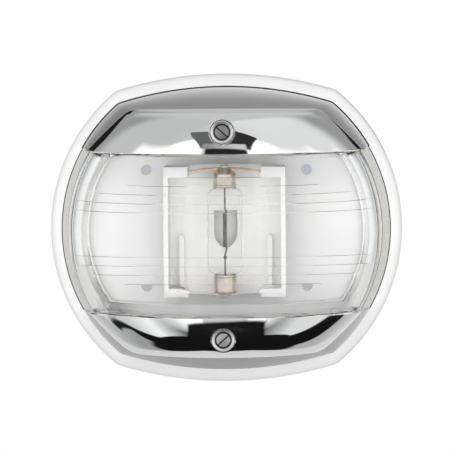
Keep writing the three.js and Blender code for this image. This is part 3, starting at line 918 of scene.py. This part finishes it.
def lamp_holder():
    """The lamp's holder: a plate with side walls, ribs, slotted blocks and a wire window."""
    block_x, rib_x, rib_half, rib_top, rib_front, wall = 8.2, 9.9, 0.55, -1.2, 13, 1
    top_block, bottom_block = 2.4, 1.9
    plate_front = PLATE_BACK + HOLDER_PLATE
    body = block(-HOLDER_SIDE, HOLDER_SIDE, -HOLDER_TOP, HOLDER_TOP, PLATE_BACK, plate_front)
    for side in (1, -1):
        edge, rib = side * HOLDER_SIDE, side * rib_x
        inner = side * (HOLDER_SIDE - wall)
        join(body, block(inner, edge, -HOLDER_TOP, HOLDER_TOP, PLATE_BACK, HOLDER_FRONT))
        for z0, z1 in ((HOLDER_TOP - top_block, HOLDER_TOP), (-HOLDER_TOP, bottom_block - HOLDER_TOP)):
            join(body, block(side * block_x, edge, z0, z1, PLATE_BACK, HOLDER_FRONT))
        low, high = 1 - HOLDER_TOP, rib_top - rib_half
        join(body, block(rib - rib_half, rib + rib_half, low, high, PLATE_BACK, rib_front))
        join(body, rod(rib_half, PLATE_BACK, rib_front, rib, high, 24))
    radius, middle, top = 2.9, -0.85, 3
    cut(body, rod(radius, 0, plate_front + 1, 0, middle, 48))
    cut(body, block(-radius, radius, middle, top, 0, plate_front + 1))
    slot_x, low, high = 12.3, CONTACT_Z - 0.3, CONTACT_Z + CONTACT_THICK + 0.9
    back, front = LAMP_DEPTH - CONTACT_WIDTH / 2 - 0.3, LAMP_DEPTH + CONTACT_WIDTH / 2 + 0.3
    for up in (1, -1):
        cut(body, block(-slot_x, slot_x, up * low, up * high, back, front))
        tail_x = up * TAIL_X
        cut(body, block(tail_x - 1.4, tail_x + 1.4, up * low, up * high, PLATE_BACK - 1, back + 1))
        cut(body, rod(1.1, 0, plate_front + 1, 0, up * PILLAR_Z, 32))
    bevel(body, 0.14)
    return finish_piece(body, "holder_frame", "lamp_holder", "base", [WHITE], 40)


def holder_screw(end, side):
    """A slotted pan-head screw that holds the lamp holder to its pillar."""
    z, head, shank, seat = side * PILLAR_Z, 1.9, 0.95, PLATE_BACK + HOLDER_PLATE + 0.08
    path = [(0, 4.2), (0.35, 4.2), (shank - 0.15, 5.2)]
    ridges = 5
    for i in range(ridges):
        low = 5.3 + i * 0.8
        path += [(shank - 0.2, low), (shank, low + 0.3), (shank - 0.2, low + 0.6)]
    top = seat + 1.2
    crown = eased([(shank, seat), (head, seat), (head, seat + 0.7), (head - 0.6, top), (0, top)], 0.25)
    body = Shape().turned([*path, *crown], 0, z, 48).part()
    slot_turn, slot_width, slot_depth = radians(20), 0.45, 0.6
    slotted(body, z, slot_turn, top, slot_width, slot_depth, 2.4)
    material = turned_steel(f"{end}_holder_screw_steel", z)
    return finish_piece(body, f"{end}_pan_screw", f"{end}_holder_screw", "base", [material])


def contact(end, side):
    """A bowed leaf spring across the holder, forked for the lamp's tip, with a wire tail."""
    flat_from, reach, steps = 9.4, 12, 48
    fork_half, tail_half, tail_back = 1.4, 1.1, 5.6
    line = [(-reach, CONTACT_Z)]
    for step in range(steps + 1):
        x = flat_from * (2 * step / steps - 1)
        rise = 1 - (x / flat_from) ** 2
        line.append((x, CONTACT_Z + (CONTACT_BOW - CONTACT_Z) * rise))
    line.append((reach, CONTACT_Z))
    back, front = LAMP_DEPTH - CONTACT_WIDTH / 2, LAMP_DEPTH + CONTACT_WIDTH / 2
    rings = []
    for x, z in line:
        rings.append([spot(x, z, back), spot(x, z, front),
                      spot(x, z + CONTACT_THICK, front), spot(x, z + CONTACT_THICK, back)])
    body = Shape().skin(rings).part()
    join(body, block(TAIL_X - tail_half, TAIL_X + tail_half, CONTACT_Z, CONTACT_Z + CONTACT_THICK,
                     tail_back, back + 0.5))
    cut(body, block(-fork_half, fork_half, CONTACT_Z - 1, CONTACT_BOW + 1,
                    LAMP_DEPTH - fork_half, front + 1))
    bevel(body, 0.08)
    if side < 0:
        body.data.transform(Matrix.Rotation(pi, 4, "Y"))
    name = f"{end}_contact"
    return finish_piece(body, f"{end}_leaf_spring", name, name, [COPPER], 40)


# -------------------- festoon lamp

GLASS_HALF, NECK, CAP_RIM = 10.4, 2, 9.1


def lamp_glass():
    """The glass tube, drawn in to a neck at each end."""
    quarter = eased([(NECK, GLASS_HALF), (NECK, CAP_RIM), (LAMP_RADIUS - 0.5, CAP_RIM - 0.6),
                     (LAMP_RADIUS, CAP_RIM - 1.8), (LAMP_RADIUS, 0)], 0.8, 8)
    outer = quarter + [Vector((point.x, -point.y)) for point in reversed(quarter[:-1])]
    wall = 0.25
    inner = [Vector((point.x - wall, point.y)) for point in reversed(outer)]
    body = Shape().turned([*outer, *inner, outer[0]], segments=96, upright=True).part()
    piece = finish_piece(body, "lamp_tube", "lamp_glass", "lamp", [LAMP_CLEAR], 60)
    piece.visible_shadow = False
    piece.visible_diffuse = False
    return piece


def lamp_cap(end, side):
    """A metal end cap with a rolled edge, a shoulder and a soldered tip."""
    radius, wall, tip, inside, top, tip_top = 2.65, 0.4, 0.95, 10.55, 14.1, 15.2
    profile = eased([
        (0, inside), (radius - wall, inside), (radius - wall, CAP_RIM), (radius, CAP_RIM),
        (radius, CAP_RIM + 0.5), (radius - 0.1, CAP_RIM + 0.65), (radius - 0.1, top - 1),
        (tip + 0.5, top), (tip, top + 0.15), (tip, tip_top - 0.25), (tip - 0.35, tip_top), (0, tip_top),
    ], 0.3)
    flipped = [(point.x, side * point.y) for point in profile]
    body = Shape().turned(flipped, segments=64, upright=True).part()
    return finish_piece(body, f"lamp_{end}_end_cap", f"lamp_{end}_cap", "lamp", [NICKEL], 40)


def lamp_filament():
    """A straight lead from each cap to a fine coil in the middle, with a small bead below it."""
    coil_half, coil_radius, wire, lead, core, turns = 3.3, 0.42, 0.085, 0.2, 0.3, 24
    reach = 10.2
    coil = []
    steps = turns * 16
    for step in range(steps + 1):
        share = step / steps
        angle = 2 * pi * turns * share
        coil.append(spot(coil_radius * cos(angle), coil_half * (2 * share - 1),
                         LAMP_DEPTH + coil_radius * sin(angle)))
    shape = Shape().tube(coil, wire, 8)
    path = [(coil_radius, coil_half), (0.1, coil_half + 0.7), (0, coil_half + 1.2), (0, reach)]
    for side in (1, -1):
        shape.tube([spot(x, side * z, LAMP_DEPTH) for x, z in path], lead, 12)
    shape.tube([spot(0, side * coil_half, LAMP_DEPTH) for side in (-1, 1)], core, 12)
    bead_z, bead = -5.1, 0.42
    arc = [pi * step / 10 for step in range(11)]
    shape.turned([(bead * sin(t), bead_z - bead * cos(t)) for t in arc], 0, 0, 16, upright=True)
    return finish_piece(shape.part(), "coiled_filament", "lamp_filament", "lamp", [WIRE], 50)


# -------------------- studio

def studio():
    """A soft studio by direction: bright cards round a dark space in front and below."""
    world = bpy.data.worlds.new("studio")
    bpy.context.scene.world = world
    nodes = Nodes(world)
    ramp = nodes.scaled

    def chain(operation, values):
        total = values[0]
        for value in values[1:]:
            total = nodes.math(operation, total, value)
        return total

    def times(*values):
        return chain("MULTIPLY", values)

    def plus(*values):
        return chain("ADD", values)

    def minus(a, b):
        return nodes.math("SUBTRACT", a, b)

    def squared(value):
        return nodes.math("POWER", value, 2)

    def over(value, edge, soft):
        """1 where a value is past an edge, with a soft change-over."""
        return ramp(value, edge - soft, edge + soft, 0, 1, True)

    def under(value, edge, soft):
        return ramp(value, edge - soft, edge + soft, 1, 0, True)

    def within(value, low, high, soft):
        return times(over(value, low, soft), under(value, high, soft))

    def laid(level, value, *shares):
        """Lays a card of one brightness over what is there already, where its shares all hold."""
        share = times(*shares)
        return plus(times(level, minus(1, share)), times(share, value))

    # A direction's turn from straight ahead (right is positive) and its height, in degrees.
    x, y, z = nodes.apart(nodes.add("ShaderNodeTexCoord").outputs["Generated"])
    degree = 180 / pi
    turn = times(nodes.math("ARCTAN2", x, times(y, -1)), degree)
    height = times(nodes.math("ARCSINE", z), degree)
    away = nodes.math("ABSOLUTE", turn)

    # Each card below is laid by the turns and heights it covers, with how soft its edges are.
    # The room above: grey to the left and behind, lighter to the right, white low down.
    level = ramp(turn, -60, 60, 0.63, 0.88, True)
    grey = ramp(away, 118, 150, 0.66, 0.36, True)
    level = laid(level, grey, over(away, 130, 14), under(height, 42, 8))
    white_edge = plus(ramp(away, 45, 78, 14.5, 28.8), ramp(away, 80, 118, 0, 2.3))
    low = times(under(minus(height, white_edge), 0, 2.2), over(away, 16.5, 1))
    level = laid(level, 1.4, low, over(turn, -78, 8), under(turn, 120, 6))
    level = laid(level, 0.66, over(away, 162, 10), over(height, 24, 4))

    # The dark ends of the room behind, seen along the sides of the upper hood.
    behind = plus(height, times(away, 0.75))
    level = laid(level, 1.15, over(away, 151, 2), under(behind, 128, 2), over(height, -6, 1))
    left = times(under(plus(height, times(away, 0.27)), 60.4, 0.7), under(turn, -151, 1))
    right = times(under(plus(height, times(away, 0.6)), 111.4, 0.7), over(turn, 159.5, 1))
    level = laid(level, 0.012, plus(left, right), within(behind, 128, 160, 1.5), over(height, -5, 1))
    level = laid(level, 0.55, over(away, 175, 2), within(height, -5, 26, 2))

    # Two dark cards in front, and the black floor, bright gap and dark edge below them.
    rise = minus(height, times(squared(turn), 0.0068))
    clear = over(rise, 0.2, 0.4)
    lean = plus(times(height, 0.75), times(squared(nodes.math("MAXIMUM", height, 0)), -0.0058))
    foot = over(plus(turn, lean), -16, 0.6)
    level = laid(level, 0.15, within(turn, -36, -6, 1), clear, under(height, 37, 2), foot)
    top = under(plus(height, times(turn, 1.2)), 55, 1.5)
    foot = under(plus(turn, times(height, -0.68)), 18.2, 0.8)
    level = laid(level, 0.03, within(turn, -1, 33, 1.5), clear, top, foot)
    floor_edge = plus(height, times(squared(nodes.math("MINIMUM", away, 30)), 0.0087))
    level = laid(level, 0.008, under(floor_edge, -4.8, 0.8))
    gap = ramp(turn, -12, 10, 0.34, 0.7)
    level = laid(level, gap, within(turn, -17, 17.5, 0.8), within(rise, 0.2, 3.9, 0.5))
    level = laid(level, 0.014, within(turn, -14, 17, 1), within(rise, -3.5, 0.1, 0.25))

    # The room below: grey behind, white to the sides in front, and black between them.
    grey = ramp(height, -40, -14, 0.38, 0.74)
    level = laid(level, grey, within(turn, -190, -110, 2.5), within(height, -48, -7, 2.5))
    grey = ramp(height, -34, -14, 0.5, 0.8)
    level = laid(level, grey, within(turn, 134, 190, 2.5), within(height, -50, -7, 2.5))
    level = laid(level, 0.74, within(away, 158, 190, 3), within(height, -66, -20, 3))
    tip = plus(times(away, 0.17), -55.08)
    level = laid(level, 0.012, within(minus(height, tip), -1.3, 1.3, 0.5), within(away, 92, 134, 2))
    tail = plus(ramp(away, 40, 76, -31, -42), ramp(away, 80, 104, 0, 5.8), ramp(away, 104, 136, 0, 5.4))
    lit = times(over(minus(height, tail), 0, 0.8), under(height, -2, 1.5))
    inner = plus(away, times(height, 0.45))
    far = ramp(away, 66, 96, 1.1, 0.72)
    white = ramp(away, 36, 66, ramp(height, -22, -12, 0.17, 1.2), far)
    level = laid(level, white, lit, within(turn, -138, -24, 2), over(inner, 23.7, 1))
    white = ramp(away, 33, 62, ramp(height, -20, -12, 0.15, 1.2), 0.85)
    level = laid(level, white, lit, within(turn, 22, 138, 2), over(inner, 25.3, 1.5))

    # What clear walls show of the room, and the soft light that everything else is in.
    seen = nodes.blend(ramp(away, 142, 158, 0, 1), (0.95, 0.96, 0.96, 1), (0.42, 0.44, 0.48, 1))
    seen = nodes.blend(under(height, -9, 4), seen, (0.74, 0.74, 0.72, 1))
    ahead = nodes.math("POWER", nodes.math("MAXIMUM", times(y, -1), 0), 8)
    fill = plus(times(ahead, 3), times(z, 0.1), 0.555)

    rays = nodes.add("ShaderNodeLightPath").outputs
    light = nodes.blend(rays["Is Glossy Ray"], fill, level)
    light = nodes.blend(rays["Is Transmission Ray"], light, seen)
    light = nodes.blend(rays["Is Camera Ray"], light, (1, 1, 1, 1))
    background = nodes.add("ShaderNodeBackground", {"Color": light})
    nodes.add("ShaderNodeOutputWorld", {"Surface": background.outputs[0]})


def floor():
    """A small pale floor well below the light, which is held by the wall."""
    half, top, thickness = 300, -160, 4
    body = Shape().box(-half, half, top - thickness, top, -half, half).part("studio_floor")
    paper = mottled("floor_paper", (0.86, 0.86, 0.86), (0.9, 0.9, 0.9), (0.7, 0.8), 20)
    body.data.materials.append(paper)
    body.visible_glossy = False


def camera():
    """A long lens, a little above and to the right of the light's axis."""
    turn, rise, roll = radians(1.4), radians(3), radians(0.4)
    distance, view_width = 2.4, 0.1033
    eye = placed("camera", bpy.data.cameras.new("camera"))
    across, ahead = sin(turn) * cos(rise), cos(turn) * cos(rise)
    direction = Vector((across, -ahead, sin(rise)))
    eye.location = direction * distance
    level = direction.to_track_quat("Z", "Y")
    eye.rotation_euler = (level @ Quaternion((0, 0, 1), -roll)).to_euler()
    eye.data.sensor_width = 36
    eye.data.lens = eye.data.sensor_width * distance / view_width
    eye.data.clip_end = 20
    eye.data.shift_x, eye.data.shift_y = -0.00221, 0.00111
    bpy.context.scene.camera = eye


# -------------------- assembly

camera()
studio()
floor()
bpy.context.scene.view_settings.view_transform = "Standard"

base()
rear_seal()
cable_grommet()
lens_gasket()
lens()
lamp_holder()
lamp_glass()
lamp_filament()
for end, side in (("upper", 1), ("lower", -1)):
    boss_insert(end, side)
    hood(end, side)
    screw_washer(end, side)
    cover_screw(end, side)
    holder_screw(end, side)
    contact(end, side)
    lamp_cap(end, side)
